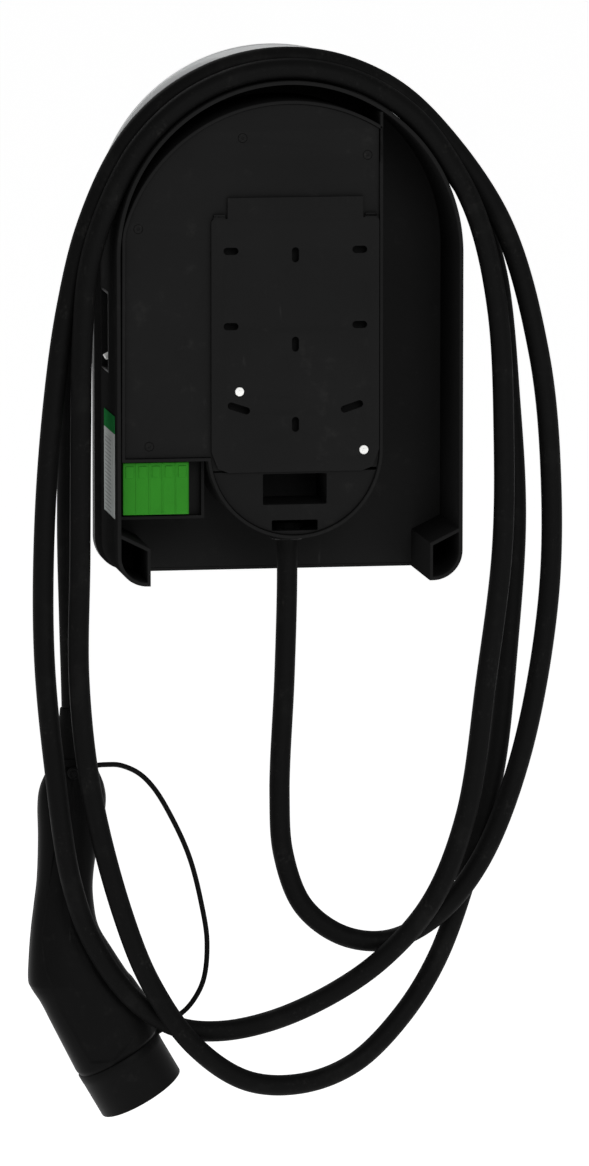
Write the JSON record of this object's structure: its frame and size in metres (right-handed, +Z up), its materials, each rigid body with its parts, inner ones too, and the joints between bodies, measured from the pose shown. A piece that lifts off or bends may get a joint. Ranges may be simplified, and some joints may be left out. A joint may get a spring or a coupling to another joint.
{
  "type": "electric car charging point",
  "caption": "Arch-shaped wall charging point seen whole: black housing on a slotted bracket, charging cable wound over its arch, vehicle plug with tethered cap.",
  "frame": {"origin": "centre of the bracket's rear face, which lies on the wall", "axes": "+Y towards the wall, so the front faces -Y; +Z up; +X to the left of a person who looks at the rear"},
  "size_m": [0.4105, 0.112, 0.8292],
  "materials": {
    "black_moulding": "fine moulded texture, satin",
    "gloss_black": "gloss",
    "black_rubber": "matt rubber sheath",
    "frosted_band": "frosted, light silver",
    "white_nylon": "satin",
    "grey_moulding": "satin",
    "green_terminal": "satin",
    "circuit_board": "lacquered board",
    "steel": "zinc plated",
    "blackened_steel": "blackened screw",
    "silvered_contact": "silver plated",
    "label": "printed film, no lettering"
  },
  "bodies": {
    "bracket": {"wall_plate": "black_moulding", "white_plug_1": "white_nylon", "white_plug_2": "white_nylon"},
    "unit": {"housing": "black_moulding", "electronics_tray": "black_moulding", "deck": "black_moulding", "deck_screw_1": "blackened_steel", "deck_screw_2": "blackened_steel", "deck_screw_3": "blackened_steel", "deck_screw_4": "blackened_steel", "lower_cover": "black_moulding", "front_cover": "black_moulding", "light_band": "frosted_band", "front_lens": "gloss_black", "front_seal": "black_rubber", "led_board": "circuit_board", "reader_board": "circuit_board", "breaker_bezel": "black_moulding", "breaker_body": "grey_moulding", "main_board": "circuit_board", "standoff_1": "steel", "standoff_2": "steel", "standoff_3": "steel", "standoff_4": "steel", "contactor": "grey_moulding", "power_supply": "grey_moulding", "earth_fault_relay": "grey_moulding", "output_loom": "black_rubber", "supply_loom": "black_rubber", "leakage_sensor": "black_moulding", "supply_grommet": "black_rubber", "terminal_tray": "black_moulding", "terminal_block": "green_terminal", "side_label": "label", "gland_body": "black_moulding", "gland_nut": "black_moulding", "charging_cable": "black_rubber", "handle_rear_shell": "black_moulding", "handle_front_shell": "black_moulding", "cable_boot": "black_rubber", "nose_collar": "black_moulding", "contact_carrier": "black_moulding", "contact_pilot": "silvered_contact", "contact_proximity": "silvered_contact", "contact_line_1": "silvered_contact", "contact_earth": "silvered_contact", "contact_neutral": "silvered_contact", "contact_line_2": "silvered_contact", "contact_line_3": "silvered_contact", "cap_tether": "black_rubber", "tether_anchor": "black_moulding"},
    "breaker_lever": {"breaker_toggle": "white_nylon"},
    "button": {"test_button": "grey_moulding"},
    "plunger": {"contactor_plunger": "black_moulding"},
    "cap": {"protective_cap": "black_moulding"}
  },
  "joints": [
    {"name": "unit_lift", "type": "slide", "parent": "bracket", "child": "unit", "axis": [0, 0, 1], "range_m": [0, 0.0065]},
    {"name": "breaker_switch", "type": "hinge", "parent": "unit", "child": "breaker_lever", "pos_m": [0.1276, -0.084, -0.02], "axis": [0, 1, 0], "range_deg": [-56, 0]},
    {"name": "test_press", "type": "slide", "parent": "unit", "child": "button", "axis": [-1, 0, 0], "range_m": [0, 0.0015], "stiffness_N_per_m": 200, "springref_m": -0.001},
    {"name": "contactor_stroke", "type": "slide", "parent": "unit", "child": "plunger", "axis": [0, -1, 0], "range_m": [0, 0.003], "stiffness_N_per_m": 300, "springref_m": -0.001},
    {"name": "cap_pull", "type": "slide", "parent": "unit", "child": "cap", "axis": [-0.5, 0, -0.866], "range_m": [0, 0.04]}
  ]
}
